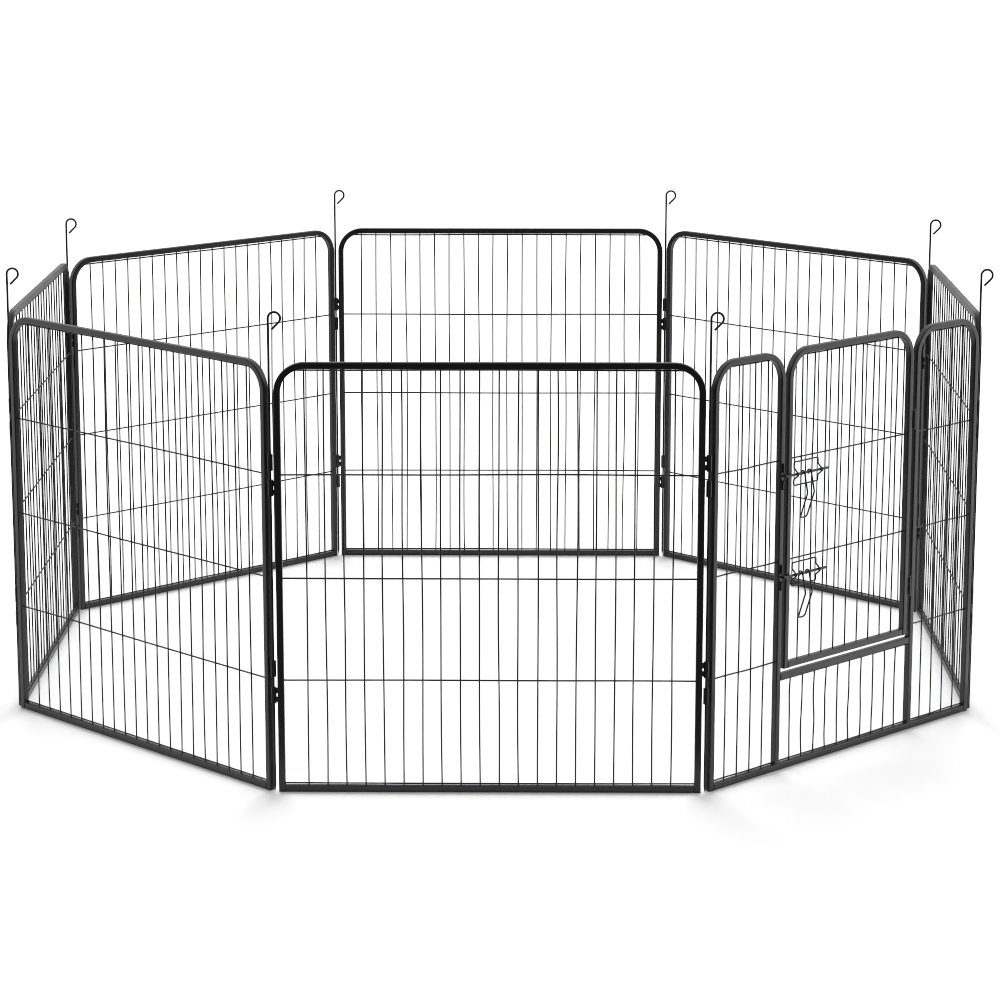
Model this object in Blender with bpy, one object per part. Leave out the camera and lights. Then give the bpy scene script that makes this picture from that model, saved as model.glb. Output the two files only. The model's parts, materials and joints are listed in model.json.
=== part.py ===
"""Eight-panel pet playpen: square steel tube panels filled with welded wire, hinged on
hooked ground stakes, with a latched door in one panel. Metres, +Z up.

The origin is the middle of the front panel's bottom rail, on the floor. The pen stands as
a regular octagon behind it, towards +Y. Panels are numbered counter-clockwise from above,
starting at the front. In a panel's own frame +X runs to the right as seen from outside the
pen, -Y points out of the pen, and the frame's origin is the middle of the panel's foot.
"""

import math

import bmesh
import bpy
from mathutils import Matrix, Vector

# ---- driving dimensions ----------------------------------------------------------------
PANEL_NAMES = (
    "front",
    "door_panel",
    "right",
    "back_right",
    "back",
    "back_left",
    "left",
    "front_left",
)
DOOR_PANEL = 1  # place of the panel that holds the door, counted from the front one
PANEL_PITCH = 0.790  # between the stake axes at the two ends of a panel
PANEL_HEIGHT = 0.800
GAP = 0.0003  # between separate pieces that touch on the real pen

TUBE = 0.012  # side of the square tube
TUBE_WALL = 0.0012
CORNER_RADIUS = 0.057  # outer radius of a hoop's top corners
BEND_STEPS = 6

PIN_OFFSET = 0.0075  # stake axis beyond the outer face of a panel's leg
SLEEVE_LENGTH = 0.030
SLEEVE_RADIUS = 0.005
SLEEVE_BORE = 0.0027
SLEEVE_SIDES = 8
RIGHT_SLEEVES = (0.218, 0.602)  # feet of the sleeves at a panel's right end
LEFT_SLEEVES = (0.168, 0.555)  # feet of the sleeves at a panel's left end
STUB_HALF_WIDTH = 0.0015
STUB_HEIGHT = 0.005
BITE_TUBE = 0.0006  # how deep a weld stub sits in a tube's wall
BITE_SLEEVE = 0.0008  # how deep a weld stub sits in a sleeve's wall

WIRE_RADIUS = 0.00125
WIRE_PITCH = 0.035
WIRE_BITE = 0.0009  # how deep two crossing wires are welded into each other
END_WIRE_CLEARANCE = 0.0015  # between a tube and the wire that runs along it
MIDDLE_WIRES = (0.2105, 0.402, 0.5935)  # heights of a panel's three middle wires
PANEL_WIRES = 20
SIDE_WIRES = 4
LOWER_WIRES = 10
DOOR_WIRES = 9

SIDE_WIDTH = 0.195  # hoop on each side of the doorway, over its tubes
THRESHOLD_FOOT = 0.175
DOOR_FOOT = 0.195
DOOR_GAP = 0.009  # between the door's legs and the posts beside them

DOOR_PIN_OUT = 0.005  # door hinge axis in front of the panel's middle plane
DOOR_PIN_RADIUS = 0.0018
DOOR_PIN_HALF = 0.0185  # from a hinge's middle to the arms of its pin
DOOR_HINGES = (0.2905, 0.621)  # heights of the two hinges' middles
DOOR_SLEEVE_LENGTH = 0.0325
DOOR_SLEEVE_RADIUS = 0.0035
DOOR_SLEEVE_BORE = 0.0022
DOOR_STUB_HALF_WIDTH = 0.0008
DOOR_STUB_HEIGHT = 0.020

STAKE_RADIUS = 0.002
STAKE_TOP = 0.892
STAKE_POINT = 0.012  # length of the tapered tip
HOOK_RADIUS = 0.011
HOOK_TAIL = 0.018

LATCH_WIRE = 0.0015  # radius of the wire of guides, keepers and handles
LATCH_DROP = 0.029  # bolt axis below the middle wire above it
BOLT_RADIUS = 0.0025
BOLT_OUT = 0.0095  # bolt axis in front of the panel's middle plane
BOLT_LENGTH = 0.1245
KEEPER_CLEARANCE = 0.0005  # between the bolt's end and the keeper, with the bolt drawn
KEEPER_HALF = 0.025
KEEPER_BEND = 0.009
KEEPER_PEAK = 0.0067  # peak of the keeper's V in front of the bolt's axis
GUIDE_WIDTH = 0.0685
GUIDE_HALF = 0.0222
GUIDE_BEND = 0.011
GUIDE_FROM_LEG = 0.008  # guide's near side beside the inner face of the door's leg
HANDLE_WIDTH = 0.019
HANDLE_FROM_GUIDE = 0.0185  # handle's near leg beside the guide's near side
HANDLE_KINK = (0.0125, -0.036)  # in front of and above the bolt's axis
HANDLE_FOOT = (-0.0045, -0.086)
HANDLE_CORNER = 0.006
EYE_GAP = 0.0005  # between the bolt and the handle's eyes
EYE_START = math.radians(250)
EYE_STEPS = 8
ROUND_SIDES = 6  # sides of the wire pieces' sections

# ---- sizes that follow from them -------------------------------------------------------
HALF_PITCH = PANEL_PITCH / 2
HALF_WIDTH = HALF_PITCH - PIN_OFFSET
TURN = 2 * math.pi / len(PANEL_NAMES)
APOTHEM = HALF_PITCH / math.tan(TURN / 2)
WIRE_HALF = WIRE_RADIUS * math.sqrt(math.pi / 2)  # square on edge, same area as the wire
ROW_DEPTH = 2 * WIRE_HALF - WIRE_BITE  # level wires stand inside the upright ones
BEND_TOP = PANEL_HEIGHT - CORNER_RADIUS
RAIL_TOP = TUBE + GAP
TOP_WIRE = PANEL_HEIGHT - TUBE - END_WIRE_CLEARANCE - WIRE_HALF
BOTTOM_WIRE = TUBE + END_WIRE_CLEARANCE + WIRE_HALF
SIDE_CENTRE = HALF_WIDTH - SIDE_WIDTH / 2
DOORWAY_HALF = HALF_WIDTH - SIDE_WIDTH
DOOR_HALF = DOORWAY_HALF - DOOR_GAP
DOOR_PIN_X = DOORWAY_HALF - DOOR_GAP / 2
POST_CENTRE = DOORWAY_HALF + TUBE / 2
LATCH_HEIGHTS = (MIDDLE_WIRES[1] - LATCH_DROP, MIDDLE_WIRES[2] - LATCH_DROP)
BOLT_END = -POST_CENTRE + LATCH_WIRE + KEEPER_CLEARANCE
GUIDE_LEFT = -DOOR_HALF + TUBE + GUIDE_FROM_LEG
GUIDE_OUT = WIRE_HALF + GAP + LATCH_WIRE
GUIDE_PEAK = BOLT_OUT + KEEPER_PEAK
KEEPER_OUT = TUBE / 2 + GAP + LATCH_WIRE
HANDLE_LEFT = GUIDE_LEFT + HANDLE_FROM_GUIDE

X_AXIS = Vector((1, 0, 0))
Y_AXIS = Vector((0, 1, 0))
COAT = ((0.018, 0.018, 0.019), 0.42)
WIRE_COAT = ((0.022, 0.022, 0.023), 0.46)
LATCH_COAT = ((0.014, 0.014, 0.015), 0.38)


# ---- shapes ----------------------------------------------------------------------------
def square(half):
    """Corners of a square section."""
    return [(half, half), (-half, half), (-half, -half), (half, -half)]


def polygon(radius, sides, flat=False):
    """Corners of a regular section; flat turns a side, not a corner, to face across."""
    shift = math.pi / sides if flat else 0
    angles = [2 * math.pi * i / sides + shift for i in range(sides)]
    return [(radius * math.cos(a), radius * math.sin(a)) for a in angles]


def rings(path, outline, side, closed=False, scales=None):
    """The outline carried along the path, mitred at each bend, one ring to a point.

    side is a direction square to the path's first stretch. A closed path starts in the
    middle of a straight stretch.
    """
    count = len(path)
    ways = [(path[(i + 1) % count] - path[i]).normalized() for i in range(count)]
    across = side.cross(ways[0])
    ring = [path[0] + across * a + side * b for a, b in outline]
    found = [ring]
    for i in range(1, count):
        way = ways[i - 1]
        last = i == count - 1 and not closed
        normal = way if last else (way + ways[i]).normalized()
        ring = [p + way * ((path[i] - p).dot(normal) / way.dot(normal)) for p in ring]
        found.append(ring)
    if scales:
        found = [
            [middle + (p - middle) * scale for p in ring]
            for middle, scale, ring in zip(path, scales, found)
        ]
    return found


def skin(shape, outer, inner=None, closed=False):
    """Adds the closed surface around a run of rings; inner rings make it a tube."""
    corners = [[shape.verts.new(p) for p in ring] for ring in outer]
    bore = [[shape.verts.new(p) for p in ring] for ring in inner] if inner else None
    count = len(corners)
    sides = len(corners[0])
    for i in range(count if closed else count - 1):
        j = (i + 1) % count
        for a in range(sides):
            b = (a + 1) % sides
            shape.faces.new((corners[i][a], corners[i][b], corners[j][b], corners[j][a]))
            if bore:
                shape.faces.new((bore[i][a], bore[j][a], bore[j][b], bore[i][b]))
    if closed:
        return
    if not bore:
        shape.faces.new(corners[0][::-1])
        shape.faces.new(corners[-1])
        return
    for a in range(sides):
        b = (a + 1) % sides
        shape.faces.new((corners[0][a], bore[0][a], bore[0][b], corners[0][b]))
        shape.faces.new((corners[-1][a], corners[-1][b], bore[-1][b], bore[-1][a]))


def block(shape, low, high):
    """Adds a box between two corners given in any order."""
    low, high = Vector(low), Vector(high)
    size = high - low
    place = Matrix.Translation((low + high) / 2)
    scale = Matrix.Diagonal((abs(size.x), abs(size.y), abs(size.z), 1))
    bmesh.ops.create_cube(shape, size=1, matrix=place @ scale)


def finished(shape, name):
    """A mesh made from the bmesh, with its faces pointing out."""
    bmesh.ops.recalc_face_normals(shape, faces=shape.faces)
    mesh = bpy.data.meshes.new(name)
    shape.to_mesh(mesh)
    shape.free()
    return mesh


def rod(path, radius, side, sides=ROUND_SIDES, closed=False, scales=None):
    """A mesh of round bar bent along a path."""
    shape = bmesh.new()
    skin(shape, rings(path, polygon(radius, sides), side, closed, scales), closed=closed)
    return finished(shape, "rod")


def square_tube(path, side=Y_AXIS):
    """A mesh of hollow square tube along a path, open at both ends."""
    shape = bmesh.new()
    outer = rings(path, square(TUBE / 2), side)
    inner = rings(path, square(TUBE / 2 - TUBE_WALL), side)
    skin(shape, outer, inner)
    return finished(shape, "tube")


def united(*meshes):
    """One closed mesh that holds all the meshes, welded by Boolean union."""
    holders = [bpy.data.objects.new("holder", mesh) for mesh in meshes]
    for holder in holders:
        bpy.context.scene.collection.objects.link(holder)
    for tool in holders[1:]:
        weld = holders[0].modifiers.new("weld", "BOOLEAN")
        weld.operation = "UNION"
        weld.solver = "EXACT"
        weld.object = tool
        tool.hide_render = True
        tool.display_type = "WIRE"
    graph = bpy.context.evaluated_depsgraph_get()
    result = bpy.data.meshes.new_from_object(holders[0].evaluated_get(graph))
    for holder in holders:
        bpy.data.objects.remove(holder)
    return result


def rounded(points, radius, steps=3):
    """The points with each inner corner replaced by an arc of the radius."""
    path = [points[0]]
    for before, corner, after in zip(points, points[1:], points[2:]):
        back = (before - corner).normalized()
        ahead = (after - corner).normalized()
        half = back.angle(ahead) / 2
        centre = corner + (back + ahead).normalized() * (radius / math.sin(half))
        start = corner + back * (radius / math.tan(half)) - centre
        end = corner + ahead * (radius / math.tan(half)) - centre
        swing = start.angle(end)
        for i in range(steps + 1):
            share = swing * i / steps
            part = start * math.sin(swing - share) + end * math.sin(share)
            path.append(centre + part / math.sin(swing))
    return path + [points[-1]]


# ---- frames and rails ------------------------------------------------------------------
def hoop_path(centre, half_width, left_foot, right_foot):
    """Centre line of a hoop: up its left leg, over the top, down its right leg."""
    half = half_width - TUBE / 2
    radius = CORNER_RADIUS - TUBE / 2
    path = [Vector((centre - half, 0, left_foot))]
    for side in (-1, 1):
        middle = Vector((centre + side * (half - radius), 0, BEND_TOP))
        start = math.pi if side < 0 else math.pi / 2
        for step in range(BEND_STEPS + 1):
            angle = start - step * math.pi / 2 / BEND_STEPS
            path.append(middle + Vector((math.cos(angle), 0, math.sin(angle))) * radius)
    path.append(Vector((centre + half, 0, right_foot)))
    return path


def sleeves(x, y, feet, length, radius, bore):
    """Upright sleeves, one above another, on a stake or pin axis."""
    shape = bmesh.new()
    for foot in feet:
        path = [Vector((x, y, foot)), Vector((x, y, foot + length))]
        outer = rings(path, polygon(radius, SLEEVE_SIDES, flat=True), Y_AXIS)
        inner = rings(path, polygon(bore, SLEEVE_SIDES, flat=True), Y_AXIS)
        skin(shape, outer, inner)
    return finished(shape, "sleeves")


def stubs(end, face, x, y, middles, radius, half_width, height):
    """Weld stubs from a leg's face to the sleeves on the axis at x and y."""
    shape = bmesh.new()
    flat = radius * math.cos(math.pi / SLEEVE_SIDES)
    near = face - end * BITE_TUBE
    far = x - end * (flat - BITE_SLEEVE)
    for middle in middles:
        low = (near, y - half_width, middle - height / 2)
        block(shape, low, (far, y + half_width, middle + height / 2))
    return finished(shape, "stubs")


def stake_sleeves(end):
    """Stubs and sleeves at one end of a panel; end is -1 on the left, 1 on the right."""
    x = end * HALF_PITCH
    feet = RIGHT_SLEEVES if end > 0 else LEFT_SLEEVES
    middles = [foot + SLEEVE_LENGTH * share for foot in feet for share in (0.25, 0.75)]
    face = end * HALF_WIDTH
    arms = stubs(end, face, x, 0, middles, SLEEVE_RADIUS, STUB_HALF_WIDTH, STUB_HEIGHT)
    return arms, sleeves(x, 0, feet, SLEEVE_LENGTH, SLEEVE_RADIUS, SLEEVE_BORE)


def panel_frame():
    """Hoop of a plain panel with its four stake sleeves."""
    hoop = square_tube(hoop_path(0, HALF_WIDTH, 0, 0))
    return united(hoop, *stake_sleeves(-1), *stake_sleeves(1))


def side_frame(end):
    """Hoop beside the doorway: its outer leg stands on the floor, its post on the rail."""
    feet = (0, RAIL_TOP) if end < 0 else (RAIL_TOP, 0)
    hoop = square_tube(hoop_path(end * SIDE_CENTRE, SIDE_WIDTH / 2, *feet))
    return united(hoop, *stake_sleeves(end))


def door_frame():
    """Hoop of the door with the two hinge sleeves on its right leg."""
    hoop = square_tube(hoop_path(0, DOOR_HALF, DOOR_FOOT, DOOR_FOOT))
    feet = [middle - DOOR_SLEEVE_LENGTH / 2 for middle in DOOR_HINGES]
    y = -DOOR_PIN_OUT
    arms = stubs(
        1,
        DOOR_HALF,
        DOOR_PIN_X,
        y,
        DOOR_HINGES,
        DOOR_SLEEVE_RADIUS,
        DOOR_STUB_HALF_WIDTH,
        DOOR_STUB_HEIGHT,
    )
    knuckles = sleeves(
        DOOR_PIN_X,
        y,
        feet,
        DOOR_SLEEVE_LENGTH,
        DOOR_SLEEVE_RADIUS,
        DOOR_SLEEVE_BORE,
    )
    return united(hoop, arms, knuckles)


def rail(half_length, foot):
    """A level tube that ends just short of the uprights on both sides of it."""
    height = foot + TUBE / 2
    ends = [Vector((side * (half_length - GAP), 0, height)) for side in (-1, 1)]
    return square_tube(ends)


# ---- wire infill -----------------------------------------------------------------------
def bend_reach(offset):
    """How far a bend's clear inside reaches from its centre, at an offset across it."""
    facet = math.cos(math.pi / 4 / BEND_STEPS)
    inside = (CORNER_RADIUS - TUBE / 2) * facet - TUBE / 2 - GAP
    return math.sqrt(inside**2 - offset**2)


def column_top(distance, half_width):
    """Top of an upright wire in a hoop, at a distance from the hoop's middle."""
    offset = distance + WIRE_HALF - (half_width - CORNER_RADIUS)
    if offset <= 0:
        return PANEL_HEIGHT - TUBE - GAP
    return BEND_TOP + bend_reach(offset)


def top_row_half(half_width):
    """Half the length of the wire that runs under a hoop's top, from bend to bend."""
    return half_width - CORNER_RADIUS + bend_reach(TOP_WIRE + WIRE_HALF - BEND_TOP)


def infill(centre, columns, rows):
    """Upright and level wires welded at every crossing.

    columns holds (x, low, high) and rows holds (z, half length), x from the centre.
    """
    uprights = bmesh.new()
    section = polygon(WIRE_HALF, 4)
    for x, low, high in columns:
        path = [Vector((centre + x, 0, low)), Vector((centre + x, 0, high))]
        skin(uprights, rings(path, section, Y_AXIS))
    levels = bmesh.new()
    for z, half in rows:
        path = [Vector((centre + side * half, ROW_DEPTH, z)) for side in (-1, 1)]
        skin(levels, rings(path, section, Y_AXIS))
    return united(finished(uprights, "uprights"), finished(levels, "levels"))


def spread(count):
    """Places of wires at the wire pitch, centred on zero."""
    return [(i - (count - 1) / 2) * WIRE_PITCH for i in range(count)]


def hoop_infill(centre, half_width, count, low, middle_rows, bottom_row):
    """Infill of a hoop, with a wire along its top and, if wanted, along its foot."""
    columns = [(x, low, column_top(abs(x), half_width)) for x in spread(count)]
    inside = half_width - TUBE - GAP
    rows = [(z, inside) for z in middle_rows] + [(TOP_WIRE, top_row_half(half_width))]
    if bottom_row:
        rows.append((BOTTOM_WIRE, inside))
    return infill(centre, columns, rows)


def lower_infill():
    """Infill between the bottom rail and the threshold."""
    columns = [(x, RAIL_TOP, THRESHOLD_FOOT - GAP) for x in spread(LOWER_WIRES)]
    top = THRESHOLD_FOOT - END_WIRE_CLEARANCE - WIRE_HALF
    return infill(0, columns, [(z, DOORWAY_HALF - GAP) for z in (BOTTOM_WIRE, top)])


# ---- hinges, latches and stakes --------------------------------------------------------
def door_pin():
    """Staple that stands off the post; its upright carries a hinge sleeve of the door.

    Modelled about the middle of its upright, with the post to the right.
    """
    reach = DOORWAY_HALF - GAP - DOOR_PIN_X
    up = Vector((0, 0, DOOR_PIN_HALF))
    out = Vector((reach, 0, 0))
    return rod([out + up, up, -up, out - up], DOOR_PIN_RADIUS, Y_AXIS)


def keeper():
    """Upright wire on the post with a V that the bolt slides into, about the bolt axis."""
    back = BOLT_OUT - KEEPER_OUT
    points = [
        Vector((0, back, -KEEPER_HALF)),
        Vector((0, back, -KEEPER_BEND)),
        Vector((0, -KEEPER_PEAK, 0)),
        Vector((0, back, KEEPER_BEND)),
        Vector((0, back, KEEPER_HALF)),
    ]
    return rod(rounded(points, 0.003, 2), LATCH_WIRE, X_AXIS)


def guide():
    """Closed wire loop on the door, with a V in each upright side that holds the bolt.

    Modelled about the bolt axis, with x from the loop's left side.
    """
    back = BOLT_OUT - GUIDE_OUT
    peak = BOLT_OUT - GUIDE_PEAK
    middle = Vector((GUIDE_WIDTH / 2, back, -GUIDE_HALF))
    points = [middle]
    for x, way in ((GUIDE_WIDTH, 1), (0, -1)):
        points.append(Vector((x, back, -way * GUIDE_HALF)))
        points.append(Vector((x, back, -way * GUIDE_BEND)))
        points.append(Vector((x, peak, 0)))
        points.append(Vector((x, back, way * GUIDE_BEND)))
        points.append(Vector((x, back, way * GUIDE_HALF)))
    points.append(middle)
    return rod(rounded(points, 0.003, 2)[:-1], LATCH_WIRE, Y_AXIS, closed=True)


def bolt():
    """Straight bar with eased ends, from its left end."""
    ease = 0.0008
    places = (0, ease, BOLT_LENGTH - ease, BOLT_LENGTH)
    path = [Vector((x, 0, 0)) for x in places]
    return rod(path, BOLT_RADIUS, Y_AXIS, SLEEVE_SIDES, scales=(0.7, 1, 1, 0.7))


def handle():
    """U of wire whose two ends curl round the bolt, about the bolt axis, from its left leg.

    Each leg leans out to its kink and back in to its foot.
    """
    radius = BOLT_RADIUS + EYE_GAP + LATCH_WIRE
    eye = []
    for step in range(EYE_STEPS + 1):
        angle = EYE_START * (1 - step / EYE_STEPS)
        eye.append(Vector((0, -radius * math.cos(angle), radius * math.sin(angle))))
    kink = Vector((0, -HANDLE_KINK[0], HANDLE_KINK[1]))
    foot = Vector((0, -HANDLE_FOOT[0], HANDLE_FOOT[1]))
    across = Vector((HANDLE_WIDTH, 0, 0))
    bend = [eye[-1], kink, foot, foot + across, kink + across, eye[-1] + across]
    path = eye[:-1] + rounded(bend, HANDLE_CORNER)
    path += [p + across for p in eye[-2::-1]]
    return rod(path, LATCH_WIRE, X_AXIS)


def stake():
    """Ground stake, about its foot: a pointed rod whose hooked top opens towards +X."""
    height = STAKE_TOP - STAKE_RADIUS - HOOK_RADIUS
    centre = Vector((HOOK_RADIUS, 0, height))
    path = [Vector((0, 0, 0)), Vector((0, 0, STAKE_POINT))]
    for step in range(11):
        angle = math.pi - step * math.radians(22.5)
        path.append(centre + Vector((math.cos(angle), 0, math.sin(angle))) * HOOK_RADIUS)
    slope = math.sqrt(0.5)
    path.append(path[-1] - Vector((slope, 0, slope)) * HOOK_TAIL)
    scales = [0.25] + [1] * (len(path) - 1)
    return rod(path, STAKE_RADIUS, Y_AXIS, scales=scales)


# ---- assembly --------------------------------------------------------------------------
def material(name, coat):
    """Principled material for one piece."""
    colour, roughness = coat
    made = bpy.data.materials.new(name)
    made.use_nodes = True
    surface = made.node_tree.nodes["Principled BSDF"]
    surface.inputs["Base Color"].default_value = (*colour, 1)
    surface.inputs["Roughness"].default_value = roughness
    surface.inputs["Metallic"].default_value = 0
    return made


def axis(name, place, turn=0, parent=None):
    """Empty that stands on a joint's axis; its pieces are its children."""
    empty = bpy.data.objects.new(name, None)
    bpy.context.scene.collection.objects.link(empty)
    empty.parent = parent
    empty.location = place
    empty.rotation_euler = (0, 0, turn)
    return empty


def piece(name, mesh, coat, parent, place=(0, 0, 0), turn=0, smooth=False):
    """Named object for one sub-part, with its own copy of the mesh and its material."""
    own = mesh.copy()
    own.name = name
    own.materials.clear()
    own.materials.append(material(name, coat))
    if smooth:
        own.shade_smooth()
        own.set_sharp_from_angle(angle=math.radians(50))
    made = bpy.data.objects.new(name, own)
    bpy.context.scene.collection.objects.link(made)
    made.parent = parent
    made.location = place
    made.rotation_euler = (0, 0, turn)
    return made


def corner(index):
    """Stake axis at the left end of a panel, at floor level."""
    angle = TURN * (index - 0.5)
    reach = APOTHEM / math.cos(TURN / 2)
    return Vector((math.sin(angle) * reach, APOTHEM - math.cos(angle) * reach, 0))


def panel_axis(index):
    """Empty on the stake axis a panel turns about, and the panel's middle seen from it.

    The front panel stands still. Panels on its right turn about their left ends, and
    panels on its left turn about their right ends.
    """
    name = PANEL_NAMES[index] + "_axis"
    on_right = index <= len(PANEL_NAMES) // 2
    place = corner(index if on_right else index + 1)
    middle = Vector((HALF_PITCH if on_right else -HALF_PITCH, 0, 0))
    return axis(name, place, TURN * index), middle


def build_plain_panels():
    frame = panel_frame()
    foot_rail = rail(HALF_WIDTH - TUBE, 0)
    wires = hoop_infill(0, HALF_WIDTH, PANEL_WIRES, RAIL_TOP, MIDDLE_WIRES, True)
    for index, name in enumerate(PANEL_NAMES):
        if index == DOOR_PANEL:
            continue
        pivot, middle = panel_axis(index)
        piece(name + "_frame", frame, COAT, pivot, middle)
        piece(name + "_rail", foot_rail, COAT, pivot, middle)
        piece(name + "_wires", wires, WIRE_COAT, pivot, middle)


def build_latch(label, height, panel, panel_middle, door, door_middle):
    """One bolt with its handle, the guide it slides in and the keeper on the post."""
    level = Vector((0, -BOLT_OUT, height))
    post = Vector((-POST_CENTRE, 0, 0))
    guide_left = Vector((GUIDE_LEFT, 0, 0))
    bolt_end = Vector((BOLT_END, 0, 0))
    handle_left = Vector((HANDLE_LEFT, 0, 0))
    slide = axis(label + "_bolt_axis", door_middle + level, parent=door)
    piece(label + "_keeper", keeper(), LATCH_COAT, panel, panel_middle + level + post)
    piece(label + "_guide", guide(), LATCH_COAT, door, door_middle + level + guide_left)
    piece(label + "_bolt", bolt(), LATCH_COAT, slide, bolt_end, smooth=True)
    piece(label + "_handle", handle(), LATCH_COAT, slide, handle_left, smooth=True)


def build_door_panel():
    panel, middle = panel_axis(DOOR_PANEL)
    piece("door_panel_rail", rail(HALF_WIDTH - TUBE, 0), COAT, panel, middle)
    piece("door_threshold", rail(DOORWAY_HALF, THRESHOLD_FOOT), COAT, panel, middle)
    piece("door_panel_lower_wires", lower_infill(), WIRE_COAT, panel, middle)
    for label, end in (("left", -1), ("right", 1)):
        name = "door_panel_" + label
        wires = hoop_infill(
            end * SIDE_CENTRE, SIDE_WIDTH / 2, SIDE_WIRES, RAIL_TOP, MIDDLE_WIRES, True
        )
        piece(name + "_frame", side_frame(end), COAT, panel, middle)
        piece(name + "_wires", wires, WIRE_COAT, panel, middle)
    hinge_place = middle + Vector((DOOR_PIN_X, -DOOR_PIN_OUT, 0))
    for label, height in zip(("lower", "upper"), DOOR_HINGES):
        place = hinge_place + Vector((0, 0, height))
        piece(label + "_door_pin", door_pin(), LATCH_COAT, panel, place)
    door = axis("door_axis", hinge_place, parent=panel)
    door_middle = middle - hinge_place
    low = DOOR_FOOT + TUBE + GAP
    wires = hoop_infill(0, DOOR_HALF, DOOR_WIRES, low, MIDDLE_WIRES[1:], False)
    piece("door_frame", door_frame(), COAT, door, door_middle)
    piece("door_rail", rail(DOOR_HALF - TUBE, DOOR_FOOT), COAT, door, door_middle)
    piece("door_wires", wires, WIRE_COAT, door, door_middle)
    for label, height in zip(("lower_latch", "upper_latch"), LATCH_HEIGHTS):
        build_latch(label, height, panel, middle, door, door_middle)


def build_stakes():
    """One stake at each corner; every hook opens the same way, towards +X."""
    mesh = stake()
    for index, name in enumerate(PANEL_NAMES):
        piece("stake_" + name, mesh, COAT, None, corner(index + 1), smooth=True)


def main():
    for old in list(bpy.data.objects):
        bpy.data.objects.remove(old)
    build_plain_panels()
    build_door_panel()
    build_stakes()


main()
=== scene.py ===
"""Looks of the eight-panel pet playpen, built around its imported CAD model.

Each CAD node is replaced by a finer piece in the same place and on the same body: square
tube with rounded edges and crimped bends, round wire that bows a little, weld beads, and
black powder coat. Metres, +Z up. A panel's own frame has +X to the right as seen from
outside the pen, -Y out of the pen, and its origin at the middle of the panel's foot.
"""

import json
import math
import random

import bmesh
import bpy
import numpy as np
from mathutils import Matrix, Vector

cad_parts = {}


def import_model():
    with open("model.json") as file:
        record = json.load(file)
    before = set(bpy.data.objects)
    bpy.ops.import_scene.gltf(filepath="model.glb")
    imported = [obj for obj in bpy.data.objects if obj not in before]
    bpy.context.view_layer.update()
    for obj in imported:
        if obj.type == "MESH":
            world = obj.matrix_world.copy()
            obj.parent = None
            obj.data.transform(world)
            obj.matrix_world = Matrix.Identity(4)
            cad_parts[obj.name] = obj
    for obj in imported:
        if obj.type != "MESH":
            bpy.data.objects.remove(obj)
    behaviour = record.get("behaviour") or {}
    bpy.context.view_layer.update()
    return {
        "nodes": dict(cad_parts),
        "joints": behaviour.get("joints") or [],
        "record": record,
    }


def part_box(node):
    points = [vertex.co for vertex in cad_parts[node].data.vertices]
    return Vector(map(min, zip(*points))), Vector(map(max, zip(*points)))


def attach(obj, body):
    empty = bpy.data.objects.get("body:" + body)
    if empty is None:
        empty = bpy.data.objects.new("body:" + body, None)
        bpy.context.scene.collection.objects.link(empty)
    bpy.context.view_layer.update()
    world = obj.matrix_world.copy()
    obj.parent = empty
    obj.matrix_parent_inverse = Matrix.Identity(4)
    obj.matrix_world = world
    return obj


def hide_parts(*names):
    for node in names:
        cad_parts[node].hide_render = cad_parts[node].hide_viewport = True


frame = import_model()

# ---- sizes the finish works with -------------------------------------------------------
PANELS = (
    "front",
    "door_panel",
    "right",
    "back_right",
    "back",
    "back_left",
    "left",
    "front_left",
)
DOOR_PANEL = 1  # place of the panel that holds the door
GAP = 0.0003  # between a CAD rail's end and the tube it is welded to
SINK = 0.0004  # how deep welded pieces reach into each other

TUBE_WALL = 0.0012
EDGE_RADIUS = 0.0018  # rounding of the square tube's edges
CORNER_RADIUS = 0.057  # outer radius of a hoop's bends
BEND_STEPS = 18
CRIMP = 0.0014  # how deep the inner wall sinks in a bend
SWELL = 0.035  # share by which the side walls swell in a bend

SLEEVE_LENGTH = 0.030
SLEEVE_RADIUS = 0.005
SLEEVE_BORE = 0.0027
RIGHT_SLEEVES = (0.218, 0.602)  # feet of the stake sleeves at a panel's right end
LEFT_SLEEVES = (0.168, 0.555)  # and at its left end
EASE = 0.0006  # rounding of cut ends
ROUND_SIDES = 24

UPRIGHT_RADIUS = 0.00135  # of the upright wires
LEVEL_RADIUS = 0.0015  # of the level ones, which the photo shows a little thicker
WIRE_PITCH = 0.035
WIRE_SIDES = 10
WIRE_STEPS = 22
ROW_DEPTH = 0.0022  # level wires stand inside the upright ones
ROW_STEPS = 40
END_CLEARANCE = 0.0015  # between a tube and the wire that runs along it
MIDDLE_WIRES = (0.2105, 0.402, 0.5935)
UPRIGHT_BOW = 0.001  # how far an upright wire strays sideways
LEVEL_BOW = 0.0005
PANEL_WIRES = 20
SIDE_WIRES = 4
LOWER_WIRES = 10
DOOR_WIRES = 9

DOOR_PIN_RADIUS = 0.0018
DOOR_PIN_HALF = 0.0185
DOOR_SLEEVE_LENGTH = 0.0325
DOOR_SLEEVE_RADIUS = 0.0035
DOOR_SLEEVE_BORE = 0.0022

STAKE_RADIUS = 0.002
STAKE_POINT = 0.012
STAKE_STEPS = 20
TIP_SHARE = 0.22  # thickness of the stake's tip, as a share of the stake's
TAIL_SHARE = 0.72  # and of the eased end of its hook
HOOK_RADIUS = 0.011
HOOK_TURN = math.radians(225)
HOOK_STEPS = 40
HOOK_TAIL = 0.018

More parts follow.
